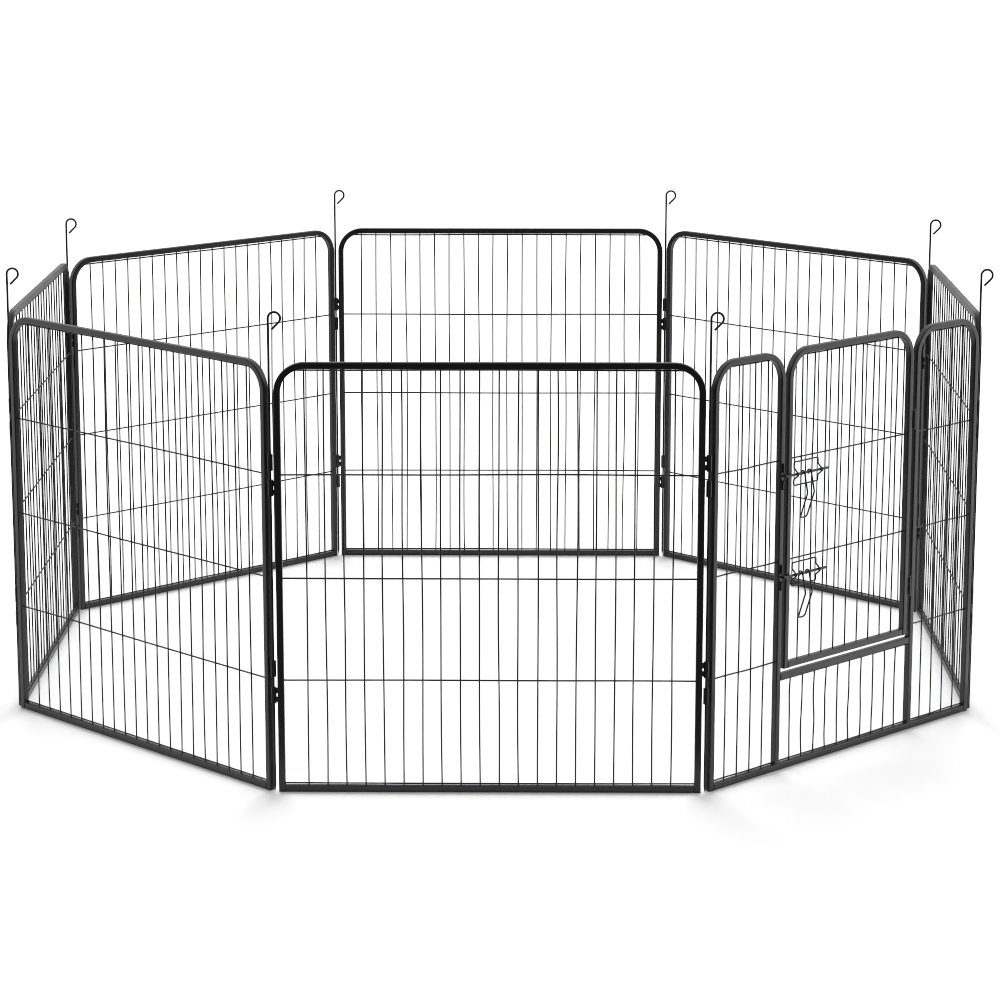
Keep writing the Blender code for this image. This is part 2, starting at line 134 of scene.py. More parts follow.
LATCH_WIRE = 0.0015
BOLT_RADIUS = 0.0025
BOLT_ROUNDING = 0.5  # length of the bolt's rounded ends, as a share of its radius
KEEPER_HALF = 0.025
KEEPER_BEND = 0.009
KEEPER_PEAK = 0.0067
GUIDE_WIDTH = 0.0685
GUIDE_HALF = 0.0222
GUIDE_BEND = 0.011
HANDLE_WIDTH = 0.019
HANDLE_KINK = (0.0125, -0.036)  # in front of and above the bolt's axis
HANDLE_FOOT = (-0.0045, -0.086)
HANDLE_CORNER = 0.006
EYE_GAP = 0.0005  # between the bolt and the handle's eyes
EYE_START = math.radians(250)
EYE_STEPS = 24

WELD_RADIUS = 0.0011
THIN_WELD = 0.0009  # radius of the welds on the hinges and latches
WELD_STEP = 0.0009  # between ripples along a weld
WELD_RIPPLE = 0.13  # height of the ripples, as a share of the radius
WELD_LIFT = 1.3  # how far over the floor a rail's weld begins, in weld radii
WELD_UNEVEN = 0.08
BEAD_RINGS = 7
BEAD_SIDES = 10
SLEEVE_WELDS = (0.24, 0.76)  # places along a stake sleeve, as shares of its length
SLEEVE_WELD_STRAY = 0.0008
SLEEVE_WELD_CORE = (0.0022, 0.0052)  # half its width and half its height
SLEEVE_WELD_ON_LEG = (0.0009, 0.0031, 0.0058)
SLEEVE_WELD_ON_SLEEVE = (0.0011, 0.0027, 0.0055)
SLEEVE_WELD_SEAM = (0.0019, 0.0048)  # seam's place sideways and half its length
ROW_END_BEAD = (0.0012, 0.0021, 0.0021)
COLUMN_END_BEAD = (0.0019, 0.0019, 0.0010)
CROSSING_BEAD = (0.0018, 0.0014, 0.0018)
PIN_BEAD = (0.0010, 0.0026, 0.0028)
GUIDE_BEAD = (0.0019, 0.0012, 0.0016)
DOOR_SEAM_HALF = 0.012
DOOR_SEAM_OUT = 0.0012
DOOR_SEAM_GAP = 0.0005  # from the door's leg, half way to its sleeves
KEEPER_SEAM_ENDS = (0.005, 0.001)  # from the keeper's bend and from its end
PIN_BEND = 0.0012
LATCH_BEND = 0.003  # bends of the keepers and guides
SHARP = math.radians(40)

PEEL_SCALE = 900.0  # waves of orange peel in a metre
GRIT_SCALE = 2600.0
GRIT_SHARE = 0.35  # height of the grit beside the orange peel
RELIEF_DEPTH = 0.0002
CLOUD_SCALE = 14.0
SHEEN_SPREAD = (-0.05, 0.07)  # added to a coat's roughness
DUST_SHARE = 0.5
RUBBED_SHARE = 0.35
PALE = 2.6  # dusty or rubbed coat, as times the colour of the coat

X_AXIS = Vector((1, 0, 0))
Y_AXIS = Vector((0, 1, 0))
Z_AXIS = Vector((0, 0, 1))

FLOOR_HALF = 30
FLOOR_SHADE = 0.97
FLOOR_DROP = 0.0003
PAPER_HALF = 1.15
PAPER_SHADE = 0.7
PAPER_DROP = 0.002
SIDE_RANGE = (0.35, 0.95)  # sideways share of a direction at which side light starts and is full
BEHIND_RANGE = (-0.16, 0.14)  # the same along +Y, for the part of it that comes from behind
TOP_RANGE = (0.15, 0.9)
BACK_RANGE = (0.2, 0.9)
LEFT_STRENGTH = 1.0
RIGHT_STRENGTH = 1.6
TOP_STRENGTH = 0.5
BACK_STRENGTH = 0.5
DIM_STRENGTH = 0.09
BACK_LIGHT_ENERGY = 4.7
BACK_LIGHT_WIDTH = math.radians(50)
BACK_LIGHT_TILT = math.radians(-66)

LENS = 111.5
CAMERA_PLACE = (0.075, -5.457, 1.727)
CAMERA_PITCH = 12.185  # degrees below level
CAMERA_YAW = 0.59  # degrees to the left of +Y

chance = random.Random(8)


# ---- places taken from the frame -------------------------------------------------------
def stake_axis(panel):
    """Floor point under the stake at a panel's right end."""
    low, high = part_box("stake_" + panel)
    return Vector((low.x + STAKE_RADIUS, (low.y + high.y) / 2, 0))


def panel_place(index):
    """Matrix of a panel's own frame."""
    left = stake_axis(PANELS[index - 1])
    right = stake_axis(PANELS[index])
    along = (right - left).normalized()
    turned = Matrix((along, Z_AXIS.cross(along), Z_AXIS)).transposed()
    return Matrix.Translation((left + right) / 2) @ turned.to_4x4()


def span(node, place):
    """Low and high corners of a CAD node in a panel's own frame."""
    inverse = place.inverted()
    points = np.array([inverse @ v.co for v in frame["nodes"][node].data.vertices])
    return Vector(points.min(axis=0)), Vector(points.max(axis=0))


def joint_point(name, place):
    """Point on a joint's axis in a panel's own frame."""
    joint = next(j for j in frame["joints"] if j["name"] == name)
    return place.inverted() @ Vector(joint["pos_m"])


PLACES = [panel_place(index) for index in range(len(PANELS))]
DOOR_PLACE = PLACES[DOOR_PANEL]
BODY_OF = {
    node: body
    for body, nodes in frame["record"]["behaviour"]["bodies"].items()
    for node in nodes
}

RAIL_LOW, RAIL_HIGH = span("front_rail", PLACES[0])
THRESHOLD_LOW, THRESHOLD_HIGH = span("door_threshold", DOOR_PLACE)
DOOR_RAIL_LOW, DOOR_RAIL_HIGH = span("door_rail", DOOR_PLACE)
TUBE = RAIL_HIGH.z - RAIL_LOW.z
PANEL_HEIGHT = span("front_frame", PLACES[0])[1].z
HALF_PITCH = (stake_axis(PANELS[0]) - stake_axis(PANELS[-1])).length / 2
HALF_WIDTH = RAIL_HIGH.x + GAP + TUBE
DOORWAY_HALF = THRESHOLD_HIGH.x + GAP
SIDE_HALF = (HALF_WIDTH - DOORWAY_HALF) / 2
SIDE_CENTRE = (HALF_WIDTH + DOORWAY_HALF) / 2
DOOR_HALF = DOOR_RAIL_HIGH.x + GAP + TUBE
BEND_TOP = PANEL_HEIGHT - CORNER_RADIUS
BEND_INSIDE = CORNER_RADIUS - TUBE
TOP_WIRE = PANEL_HEIGHT - TUBE - END_CLEARANCE - LEVEL_RADIUS
BOTTOM_WIRE = TUBE + END_CLEARANCE + LEVEL_RADIUS


# ---- surfaces --------------------------------------------------------------------------
def circle(radius, sides=WIRE_SIDES):
    """Round section."""
    angles = np.arange(sides) * 2 * math.pi / sides
    return np.column_stack((np.cos(angles), np.sin(angles))) * radius


def soft_square(half, radius, steps=4, between=3):
    """Square section with rounded corners and a few points along each flat."""
    points = []
    for quarter in range(4):
        start = quarter * math.pi / 2
        turn = np.array((math.cos(start), math.sin(start)))
        across = np.array((-turn[1], turn[0]))
        reach = half - radius
        for step in range(steps + 1):
            angle = step * math.pi / 2 / steps
            a = reach + radius * math.cos(angle)
            b = reach + radius * math.sin(angle)
            points.append(turn * a + across * b)
        for step in range(1, between + 1):
            b = reach * (1 - 2 * step / (between + 1))
            points.append(across * half + turn * b)
    return np.array(points)


def sweep(path, outline, side, closed=False):
    """Rings of an outline carried along a path, square to it and without twist.

    outline is one section, or one section for each point of the path.
    """
    path = np.array(path, float)
    legs = np.roll(path, -1, axis=0) - path
    legs /= np.linalg.norm(legs, axis=1, keepdims=True)
    ways = legs + np.roll(legs, 1, axis=0)
    if not closed:
        ways[0] = legs[0]
        ways[-1] = legs[-2]
    ways /= np.linalg.norm(ways, axis=1, keepdims=True)
    sections = np.broadcast_to(outline, (len(path), *np.shape(outline)[-2:]))
    side = np.array(side, float)
    rings = []
    for point, way, section in zip(path, ways, sections):
        side = side - way * side.dot(way)
        side /= np.linalg.norm(side)
        across = np.cross(side, way)
        rings.append(point + section[:, :1] * across + section[:, 1:] * side)
    return np.array(rings)


class Skin:
    """Gathers the closed surfaces of one piece."""

    def __init__(self):
        self.points = []
        self.faces = []

    def loops(self, rings, closed=False):
        """Adds the surface over a run of rings, capped at both ends unless it closes."""
        base = len(self.points)
        count, sides = rings.shape[:2]
        self.points.extend(rings.reshape(-1, 3).tolist())
        for i in range(count if closed else count - 1):
            near = base + i * sides
            far = base + (i + 1) % count * sides
            for a in range(sides):
                b = (a + 1) % sides
                self.faces.append((near + a, near + b, far + b, far + a))
        if not closed:
            self.faces.append(tuple(range(base + sides - 1, base - 1, -1)))
            self.faces.append(tuple(range(base + (count - 1) * sides, base + count * sides)))

    def tube(self, outer, inner):
        """Adds a hollow run that is open at both ends."""
        self.loops(np.concatenate((outer, inner[::-1])), closed=True)

    def wire(self, path, radius, side, sides=WIRE_SIDES, closed=False):
        """Adds round wire along a path; open ends are eased."""
        if closed:
            self.loops(sweep(path, circle(radius, sides), side, closed=True), closed=True)
            return
        path = [Vector(p) for p in path]
        head = (path[1] - path[0]).normalized() * EASE
        tail = (path[-2] - path[-1]).normalized() * EASE
        path = [path[0], path[0] + head, *path[1:-1], path[-1] + tail, path[-1]]
        scales = np.ones(len(path))
        scales[[0, -1]] = 1 - EASE / radius
        self.loops(sweep(path, scales[:, None, None] * circle(radius, sides), side))

    def bead(self, centre, radii):
        """Adds a small round of weld metal."""
        rings = []
        for step in range(BEAD_RINGS):
            angle = math.pi * (step + 0.25) / (BEAD_RINGS - 0.5)
            ring = circle(math.sin(angle), BEAD_SIDES)
            level = np.full(BEAD_SIDES, -math.cos(angle))
            rings.append(np.column_stack((ring, level)) * radii + np.array(centre))
        self.loops(np.array(rings))

    def seam(self, path, radius, side, closed=False):
        """Adds a weld bead whose ripples follow the path."""
        path = np.array(path, float)
        steps = np.linalg.norm(np.diff(path, axis=0), axis=1)
        along = np.concatenate(([0], np.cumsum(steps)))
        ripple = np.sin(along / WELD_STEP * 2 * math.pi + chance.random() * 6)
        scales = 1 + WELD_RIPPLE * ripple
        scales *= [1 + chance.uniform(-WELD_UNEVEN, WELD_UNEVEN) for _ in path]
        if not closed:
            share = along / along[-1]
            scales *= np.sqrt(np.clip(4 * share * (1 - share) * 2, 0.02, 1))
        outline = scales[:, None, None] * circle(radius, 8)
        self.loops(sweep(path, outline, side, closed), closed)


def piece(node, skin, slot, place):
    """Object that stands for a CAD node, in its place and on its body."""
    mesh = bpy.data.meshes.new(node + "_fine")
    mesh.from_pydata(skin.points, [], skin.faces)
    shape = bmesh.new()
    shape.from_mesh(mesh)
    bmesh.ops.recalc_face_normals(shape, faces=shape.faces)
    shape.to_mesh(mesh)
    shape.free()
    mesh.shade_smooth()
    mesh.set_sharp_from_angle(angle=SHARP)
    mesh.materials.append(MATERIALS[slot])
    made = bpy.data.objects.new(node + "_fine", mesh)
    bpy.context.scene.collection.objects.link(made)
    made.matrix_world = place
    normals = made.modifiers.new("normals", "WEIGHTED_NORMAL")
    normals.keep_sharp = True
    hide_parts(node)
    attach(made, BODY_OF[node])


def rounded(points, radius, steps=7):
    """The points with each inner corner replaced by an arc of the radius."""
    path = [points[0]]
    for before, corner, after in zip(points, points[1:], points[2:]):
        back = (before - corner).normalized()
        ahead = (after - corner).normalized()
        half = back.angle(ahead) / 2
        centre = corner + (back + ahead).normalized() * (radius / math.sin(half))
        start = corner + back * (radius / math.tan(half)) - centre
        end = corner + ahead * (radius / math.tan(half)) - centre
        swing = start.angle(end)
        for i in range(steps + 1):
            share = swing * i / steps
            part = start * math.sin(swing - share) + end * math.sin(share)
            path.append(centre + part / math.sin(swing))
    return path + [points[-1]]


# ---- tubes -----------------------------------------------------------------------------
def crimped(outline, share):
    """Section of the tube part way round a bend: inner wall sunk, side walls swollen."""
    strength = math.sin(math.pi * share) ** 4
    across, side = outline.T
    middle = np.clip(1 - (side / (TUBE / 2)) ** 2, 0, 1)
    inward = np.clip(across / (TUBE / 2), 0, 1) ** 3 * middle
    swell = 1 + SWELL * strength * (1 - (across / (TUBE / 2)) ** 2)
    return np.column_stack((across - CRIMP * strength * inward, side * swell))


def square_tube(skin, path, bends=None):
    """Hollow square tube along a path in a panel's plane; bends gives shares of a bend."""
    shares = bends or [0] * len(path)
    outer = soft_square(TUBE / 2, EDGE_RADIUS)
    inner = soft_square(TUBE / 2 - TUBE_WALL, EDGE_RADIUS - TUBE_WALL)
    skin.tube(
        sweep(path, [crimped(outer, share) for share in shares], Y_AXIS),
        sweep(path, [crimped(inner, share) for share in shares], Y_AXIS),
    )


def hoop(skin, centre, half_width, left_foot, right_foot):
    """Tube up one leg, round two bends and down the other leg."""
    half = half_width - TUBE / 2
    radius = CORNER_RADIUS - TUBE / 2
    path = [(centre - half, 0, left_foot)]
    shares = [0]
    for side in (-1, 1):
        middle = centre + side * (half - radius)
        start = math.pi if side < 0 else math.pi / 2
        for step in range(BEND_STEPS + 1):
            share = step / BEND_STEPS
            angle = start - share * math.pi / 2
            x = middle + math.cos(angle) * radius
            path.append((x, 0, BEND_TOP + math.sin(angle) * radius))
            shares.append(share)
    path.append((centre + half, 0, right_foot))
    shares.append(0)
    square_tube(skin, path, shares)


def joint_seam(skin, x, middle, on_floor):
    """Weld round the end of a square tube that butts against another at x.

    A tube on the floor has no weld along its underside.
    """
    outline = soft_square(TUBE / 2, EDGE_RADIUS, 3, 9)
    path = [(x, a, middle + b) for a, b in outline]
    if not on_floor:
        skin.seam(path, WELD_RADIUS, X_AXIS, closed=True)
        return
    order = sorted(path, key=lambda p: math.atan2(p[1], p[2] - middle))
    above = [p for p in order if p[2] > WELD_RADIUS * WELD_LIFT]
    skin.seam(above, WELD_RADIUS, X_AXIS)


def rail_piece(node, half_length, foot, place):
    """Level tube welded between two uprights."""
    skin = Skin()
    height = foot + TUBE / 2
    ends = [(side * (half_length + SINK), 0, height) for side in (-1, 1)]
    square_tube(skin, ends)
    for side in (-1, 1):
        joint_seam(skin, side * half_length, height, foot == 0)
    piece(node, skin, "frame_coat", place)


def sleeve(skin, centre, length, radius, bore):
    """Short piece of round tube with eased ends."""
    low = centre.z - length / 2
    high = centre.z + length / 2
    outer = [
        (low, radius - EASE),
        (low + EASE * 0.3, radius - EASE * 0.3),
        (low + EASE, radius),
        (high - EASE, radius),
        (high - EASE * 0.3, radius - EASE * 0.3),
        (high, radius - EASE),
    ]
    inner = [(high, bore + EASE), (high - EASE, bore), (low + EASE, bore), (low, bore + EASE)]
    rings = []
    for z, size in outer + inner:
        ring = circle(size, ROUND_SIDES)
        level = np.full(ROUND_SIDES, z)
        rings.append(np.column_stack((ring + (centre.x, centre.y), level)))
    skin.loops(np.array(rings), closed=True)


def sleeve_weld(skin, face, near, height):
    """Weld that fills the gap from a leg's face to the near side of a stake sleeve."""
    middle = (face + near) / 2
    reach = abs(near - face) / 2 + SINK
    skin.bead((middle, 0, height), (reach, *SLEEVE_WELD_CORE))
    skin.bead((face, 0, height), SLEEVE_WELD_ON_LEG)
    skin.bead((near, 0, height), SLEEVE_WELD_ON_SLEEVE)
    out, half = SLEEVE_WELD_SEAM
    for side in (-1, 1):
        low = (middle, side * out, height - half)
        high = (middle, side * out, height + half)
        skin.seam(np.linspace(low, high, 24), WELD_RADIUS, X_AXIS)


def stake_sleeves(skin, end):
    """Sleeves at one end of a panel, each welded to the leg at two places."""
    x = end * HALF_PITCH
    for foot in RIGHT_SLEEVES if end > 0 else LEFT_SLEEVES:
        centre = Vector((x, 0, foot + SLEEVE_LENGTH / 2))
        sleeve(skin, centre, SLEEVE_LENGTH, SLEEVE_RADIUS, SLEEVE_BORE)
        for share in SLEEVE_WELDS:
            wobble = chance.uniform(-SLEEVE_WELD_STRAY, SLEEVE_WELD_STRAY)
            height = foot + SLEEVE_LENGTH * share + wobble
            sleeve_weld(skin, end * HALF_WIDTH, x - end * SLEEVE_RADIUS, height)


def frame_piece(node, centre, half_width, feet, ends, place):
    """Hoop with stake sleeves at the ends that have them."""
    skin = Skin()
    hoop(skin, centre, half_width, *feet)
    for end in ends:
        stake_sleeves(skin, end)
    piece(node, skin, "frame_coat", place)


# ---- wires -----------------------------------------------------------------------------
def stray(size):
    """Smooth wander of a wire, nil at its two ends, as a function of 0 to 1."""
    waves = [(i, chance.gauss(0, size / i)) for i in (1, 2, 3, 4)]
    return lambda share: sum(a * math.sin(i * math.pi * share) for i, a in waves)


def wires_piece(node, centre, columns, rows, place):
    """Upright and level wires, welded to each other and to the tubes at their ends.

    columns holds (x, low, high) and rows holds (z, half length), x from the centre.
    """
    skin = Skin()
    rise = []
    for z, half in rows:
        lift = stray(LEVEL_BOW)
        rise.append(lift)
        path = []
        for step in range(ROW_STEPS + 1):
            share = step / ROW_STEPS
            x = centre + (2 * share - 1) * (half + SINK)
            path.append((x, ROW_DEPTH, z + lift(share)))
        skin.wire(path, LEVEL_RADIUS, Y_AXIS)
        for end in (-1, 1):
            skin.bead((centre + end * half, ROW_DEPTH * 0.8, z), ROW_END_BEAD)
    for x, low, high in columns:
        sway = stray(UPRIGHT_BOW)
        lean = stray(LEVEL_BOW)
        path = []
        for step in range(WIRE_STEPS + 1):
            share = step / WIRE_STEPS
            z = low - SINK + share * (high - low + 2 * SINK)
            path.append((centre + x + sway(share), lean(share), z))
        skin.wire(path, UPRIGHT_RADIUS, Y_AXIS)
        for z in (low, high):
            skin.bead((centre + x, 0, z), COLUMN_END_BEAD)
        for (z, half), lift in zip(rows, rise):
            if not low < z < high or abs(x) > half:
                continue
            share = (z - low) / (high - low)
            height = z + lift((x / half + 1) / 2)
            place_of_weld = (centre + x + sway(share), ROW_DEPTH / 2, height)
            skin.bead(place_of_weld, CROSSING_BEAD)
    piece(node, skin, "wire_coat", place)


def spread(count):
    """Places of wires at the wire pitch, centred on zero."""
    return [(i - (count - 1) / 2) * WIRE_PITCH for i in range(count)]


def hoop_wires(node, centre, half_width, count, low, middle_rows, bottom_row, place):
    """Infill of a hoop, with a wire along its top and, if wanted, along its foot."""
    bend = half_width - CORNER_RADIUS
    columns = []
    for x in spread(count):
        past = max(0, abs(x) - bend)
        top = BEND_TOP + math.sqrt(BEND_INSIDE**2 - past**2)
        columns.append((x, low, top))
    inside = half_width - TUBE
    top_half = bend + math.sqrt(BEND_INSIDE**2 - (TOP_WIRE - BEND_TOP) ** 2)
    rows = [(z, inside) for z in middle_rows] + [(TOP_WIRE, top_half)]
    if bottom_row:
        rows.append((BOTTOM_WIRE, inside))
    wires_piece(node, centre, columns, rows, place)


# ---- hinges, latches and stakes --------------------------------------------------------
def door_pin_piece(node, axis, place):
    """Staple on the post whose upright carries a hinge sleeve of the door."""
    skin = Skin()
    low, high = span(node, place)
    middle = Vector((axis.x, axis.y, (low.z + high.z) / 2))
    up = Z_AXIS * DOOR_PIN_HALF
    out = X_AXIS * (DOORWAY_HALF + SINK - axis.x)
    path = rounded([middle + out + up, middle + up, middle - up, middle + out - up], PIN_BEND)
    skin.wire(path, DOOR_PIN_RADIUS, Y_AXIS, 16)
    for way in (-1, 1):
        skin.bead(middle + out + up * way, PIN_BEAD)
    piece(node, skin, "latch_coat", place)


def door_frame_piece(axis, place):
    """Hoop of the door with the sleeves that turn on the two door pins."""
    skin = Skin()
    hoop(skin, 0, DOOR_HALF, DOOR_RAIL_LOW.z, DOOR_RAIL_LOW.z)
    for label in ("lower", "upper"):
        low, high = span(label + "_door_pin", place)
        centre = Vector((axis.x, axis.y, (low.z + high.z) / 2))
        sleeve(skin, centre, DOOR_SLEEVE_LENGTH, DOOR_SLEEVE_RADIUS, DOOR_SLEEVE_BORE)
        near = DOOR_HALF + DOOR_SEAM_GAP
        low, high = centre.z - DOOR_SEAM_HALF, centre.z + DOOR_SEAM_HALF
        for y in (axis.y - DOOR_SEAM_OUT, axis.y + DOOR_SEAM_OUT):
            skin.seam(np.linspace((near, y, low), (near, y, high), 36), THIN_WELD, X_AXIS)
    piece("door_frame", skin, "frame_coat", place)


def keeper_piece(node, axis, place):
    """Wire on the post with a V that the bolt slides into."""
    skin = Skin()
    low, high = span(node, place)
    x = (low.x + high.x) / 2
    back = -(TUBE / 2 + LATCH_WIRE)
    peak = axis.y - KEEPER_PEAK
    shape = (
        (back, -KEEPER_HALF),
        (back, -KEEPER_BEND),
        (peak, 0),
        (back, KEEPER_BEND),
        (back, KEEPER_HALF),
    )
    points = [Vector((x, y, axis.z + z)) for y, z in shape]
    skin.wire(rounded(points, LATCH_BEND), LATCH_WIRE, X_AXIS, 14)
    for way in (-1, 1):
        for side in (-1, 1):
            edge = x + side * LATCH_WIRE * 0.9
            y = -TUBE / 2 - GAP
            near = axis.z + way * (KEEPER_BEND + KEEPER_SEAM_ENDS[0])
            far = axis.z + way * (KEEPER_HALF - KEEPER_SEAM_ENDS[1])
            skin.seam(np.linspace((edge, y, near), (edge, y, far), 18), THIN_WELD, X_AXIS)
    piece(node, skin, "latch_coat", place)


def guide_piece(node, axis, place):
    """Closed wire loop on the door whose two Vs hold the bolt."""
    skin = Skin()
    low, high = span(node, place)
    left = (low.x + high.x - GUIDE_WIDTH) / 2
    back = high.y - LATCH_WIRE
    peak = axis.y - KEEPER_PEAK
    start = Vector((left + GUIDE_WIDTH / 2, back, axis.z - GUIDE_HALF))
    points = [start]
    for x, way in ((left + GUIDE_WIDTH, 1), (left, -1)):
        points.append(Vector((x, back, axis.z - way * GUIDE_HALF)))
        points.append(Vector((x, back, axis.z - way * GUIDE_BEND)))
        points.append(Vector((x, peak, axis.z)))
        points.append(Vector((x, back, axis.z + way * GUIDE_BEND)))
        points.append(Vector((x, back, axis.z + way * GUIDE_HALF)))
    points.append(start)
    skin.wire(rounded(points, LATCH_BEND)[:-1], LATCH_WIRE, Y_AXIS, 14, closed=True)
    for x in spread(DOOR_WIRES):
        if left < x < left + GUIDE_WIDTH:
            for way in (-1, 1):
                skin.bead((x, back + LATCH_WIRE * 0.8, axis.z + way * GUIDE_HALF), GUIDE_BEAD)
    piece(node, skin, "latch_coat", place)


def bolt_piece(node, axis, place):
    """Straight bar with rounded ends."""
    skin = Skin()
    low, high = span(node, place)
    round_end = [(1 - math.cos(a), math.sin(a)) for a in np.linspace(0.3, math.pi / 2, 6)]
    places = [low.x + BOLT_RADIUS * BOLT_ROUNDING * x for x, _ in round_end]
    places += [high.x - BOLT_RADIUS * BOLT_ROUNDING * x for x, _ in reversed(round_end)]
    scales = np.array([s for _, s in round_end] + [s for _, s in reversed(round_end)])
    path = [(x, axis.y, axis.z) for x in places]
    outline = scales[:, None, None] * circle(BOLT_RADIUS, 20)
    skin.loops(sweep(path, outline, Y_AXIS))
    piece(node, skin, "latch_coat", place)


def handle_piece(node, axis, place):
    """U of wire whose two ends curl round the bolt; its legs lean out, then back in."""
    skin = Skin()
    low, high = span(node, place)
    left = Vector(((low.x + high.x - HANDLE_WIDTH) / 2, axis.y, axis.z))
    radius = BOLT_RADIUS + EYE_GAP + LATCH_WIRE
    eye = []
    for step in range(EYE_STEPS + 1):
        angle = EYE_START * (1 - step / EYE_STEPS)
        eye.append(left + Vector((0, -radius * math.cos(angle), radius * math.sin(angle))))
    kink = left + Vector((0, -HANDLE_KINK[0], HANDLE_KINK[1]))
    foot = left + Vector((0, -HANDLE_FOOT[0], HANDLE_FOOT[1]))
    across = X_AXIS * HANDLE_WIDTH
    bend = [eye[-1], kink, foot, foot + across, kink + across, eye[-1] + across]
    path = eye[:-1] + rounded(bend, HANDLE_CORNER)
    path += [p + across for p in eye[-2::-1]]
    skin.wire(path, LATCH_WIRE, X_AXIS, 14)
    piece(node, skin, "latch_coat", place)


def stake_piece(panel):
    """Pointed ground stake with a hooked top that opens towards +X."""
    node = "stake_" + panel
    skin = Skin()
    low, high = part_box(node)
    height = high.z - STAKE_RADIUS - HOOK_RADIUS
    path = [Vector((0, 0, low.z)), Vector((0, 0, low.z + STAKE_POINT))]
    for step in range(1, STAKE_STEPS):
        z = low.z + STAKE_POINT + (height - low.z - STAKE_POINT) * step / STAKE_STEPS
        path.append(Vector((0, 0, z)))
    for step in range(HOOK_STEPS + 1):
        angle = math.pi - step * HOOK_TURN / HOOK_STEPS
        swing = Vector((math.cos(angle), 0, math.sin(angle)))
        path.append(Vector((HOOK_RADIUS, 0, height)) + swing * HOOK_RADIUS)
    slope = Vector((math.sqrt(0.5), 0, math.sqrt(0.5)))
    path.append(path[-1] - slope * (HOOK_TAIL - EASE))
    path.append(path[-1] - slope * EASE)
    scales = np.ones(len(path))
    scales[0] = TIP_SHARE
    scales[-1] = TAIL_SHARE
    skin.loops(sweep(path, scales[:, None, None] * circle(STAKE_RADIUS, 16), Y_AXIS))
    piece(node, skin, "stake_coat", Matrix.Translation(stake_axis(panel)))


# ---- materials -------------------------------------------------------------------------
def add_node(tree, kind, **settings):
    """New node; each setting is one of its inputs or of its properties."""
    node = tree.nodes.new(kind)
    for key, value in settings.items():
        if key in node.inputs:
            node.inputs[key].default_value = value
        else:
            setattr(node, key, value)
    return node


def ramp(tree, source, start, end, low, high, shape="LINEAR"):
    """Value that goes from low to high while the source goes from start to end."""
    node = add_node(tree, "ShaderNodeMapRange", interpolation_type=shape)
    ends = {"From Min": start, "From Max": end, "To Min": low, "To Max": high}
    for label, value in ends.items():
        node.inputs[label].default_value = value
    tree.links.new(source, node.inputs["Value"])
    return node.outputs["Result"]


def combine(tree, operation, first, second):
    """Sum or product of an output and a second output or number."""
    node = add_node(tree, "ShaderNodeMath", operation=operation)
    tree.links.new(first, node.inputs[0])
    if isinstance(second, float):
        node.inputs[1].default_value = second
    else:
        tree.links.new(second, node.inputs[1])
    return node.outputs["Value"]


def coat_relief(tree, place, peel):
    """Normal of orange peel with fine grit on it."""
    noise = add_node(tree, "ShaderNodeTexNoise", Scale=PEEL_SCALE, Detail=3.0, Roughness=0.55)
    grit = add_node(tree, "ShaderNodeTexVoronoi", Scale=GRIT_SCALE)
    for node in (noise, grit):
        tree.links.new(place, node.inputs["Vector"])
    specks = combine(tree, "MULTIPLY", grit.outputs["Distance"], GRIT_SHARE)
    bump = add_node(tree, "ShaderNodeBump", Strength=peel, Distance=RELIEF_DEPTH)
    tree.links.new(combine(tree, "ADD", specks, noise.outputs["Fac"]), bump.inputs["Height"])
    return bump.outputs["Normal"]


def coat_tint(tree, cloud, colour):
    """Colour of the coat, paler where dust lies on top and where edges are rubbed."""
    geometry = tree.nodes.new("ShaderNodeNewGeometry")
    normal = tree.nodes.new("ShaderNodeSeparateXYZ")
    tree.links.new(geometry.outputs["Normal"], normal.inputs["Vector"])
    upward = ramp(tree, normal.outputs["Z"], 0.6, 1, 0, DUST_SHARE)
    rubbed = ramp(tree, geometry.outputs["Pointiness"], 0.52, 0.62, 0, RUBBED_SHARE)
    worn = combine(tree, "ADD", combine(tree, "MULTIPLY", upward, cloud), rubbed)
    tint = add_node(tree, "ShaderNodeMix", data_type="RGBA")
    tree.links.new(worn, tint.inputs["Factor"])
    tint.inputs[6].default_value = (*colour, 1)
    tint.inputs[7].default_value = (*[c * PALE for c in colour], 1)
    return tint.outputs[2]


def powder_coat(name, colour, roughness, peel):
    """Black powder coat: orange-peel relief, cloudy sheen, dust and rubbed edges."""
    made = bpy.data.materials.new(name)
    made.use_nodes = True
    tree = made.node_tree
    place = tree.nodes.new("ShaderNodeTexCoord").outputs["Object"]
    clouds = add_node(tree, "ShaderNodeTexNoise", Scale=CLOUD_SCALE, Detail=4.0, Roughness=0.6)
    tree.links.new(place, clouds.inputs["Vector"])
    cloud = clouds.outputs["Fac"]
    smooth, rough = [roughness + spread for spread in SHEEN_SPREAD]
    surface = tree.nodes["Principled BSDF"]
    surface.inputs["Specular IOR Level"].default_value = 0.55
    tree.links.new(coat_tint(tree, cloud, colour), surface.inputs["Base Color"])
    tree.links.new(ramp(tree, cloud, 0.3, 0.7, smooth, rough), surface.inputs["Roughness"])
    tree.links.new(coat_relief(tree, place, peel), surface.inputs["Normal"])
    return made


MATERIALS = {
    "frame_coat": powder_coat("frame_coat", (0.016, 0.016, 0.017), 0.24, 0.16),
    "wire_coat": powder_coat("wire_coat", (0.016, 0.016, 0.017), 0.38, 0.12),
    "latch_coat": powder_coat("latch_coat", (0.010, 0.010, 0.011), 0.27, 0.10),
    "stake_coat": powder_coat("stake_coat", (0.012, 0.012, 0.013), 0.34, 0.12),
}


